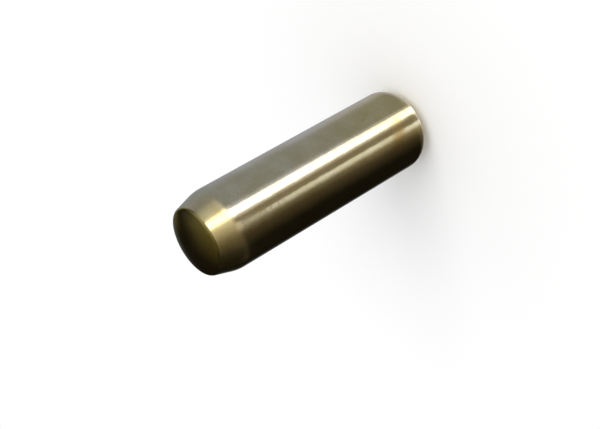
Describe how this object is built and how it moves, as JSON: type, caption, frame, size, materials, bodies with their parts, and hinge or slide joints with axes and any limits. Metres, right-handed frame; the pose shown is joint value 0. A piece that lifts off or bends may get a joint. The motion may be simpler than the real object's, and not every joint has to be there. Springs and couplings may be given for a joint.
{
  "type": "dowel pin",
  "caption": "Straight ground dowel pin with a tapered, crowned nose that leads it into a reamed hole and a rounded tail.",
  "frame": {"origin": "middle of the flat tail face, which the pin stands on", "axes": "+Z along the pin's axis, from the tail to the tapered nose"},
  "size_m": [0.006, 0.006, 0.02],
  "materials": {
    "pin_metal": "ground and lightly polished, satin"
  },
  "bodies": {
    "root": {"pin": "pin_metal"}
  },
  "joints": []
}
